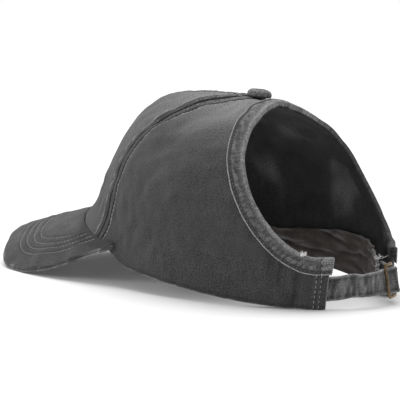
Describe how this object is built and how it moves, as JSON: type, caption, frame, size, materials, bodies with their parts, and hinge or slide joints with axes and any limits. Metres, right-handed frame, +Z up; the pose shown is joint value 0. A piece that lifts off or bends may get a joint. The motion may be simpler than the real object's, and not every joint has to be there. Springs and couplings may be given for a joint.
{
  "type": "ponytail baseball cap",
  "caption": "Cotton baseball cap with a curved peak, a covered button, a tall bound opening at the back for a ponytail and a buckled strap below it.",
  "frame": {"origin": "middle of the bounding box's bottom, on the floor the cap rests on", "axes": "+Z up, the peak points to -Y, the wearer's left is +X"},
  "size_m": [0.1526, 0.2528, 0.1167],
  "materials": {
    "washed_twill": "washed charcoal cotton twill with worn lighter edges",
    "dark_tape": "matt dark seam tape",
    "sweatband_twill": "matt grey-brown cotton twill",
    "antique_brass": "antique brushed brass"
  },
  "bodies": {
    "root": {"front_panel_left": "washed_twill", "front_panel_right": "washed_twill", "side_panel_left": "washed_twill", "side_panel_right": "washed_twill", "opening_binding": "washed_twill", "seam_tape_centre": "dark_tape", "seam_tape_left": "dark_tape", "seam_tape_right": "dark_tape", "top_button": "washed_twill", "peak_upper": "washed_twill", "peak_lower": "washed_twill", "sweatband": "sweatband_twill", "strap": "washed_twill", "buckle_loop": "washed_twill", "buckle": "antique_brass"}
  },
  "joints": []
}
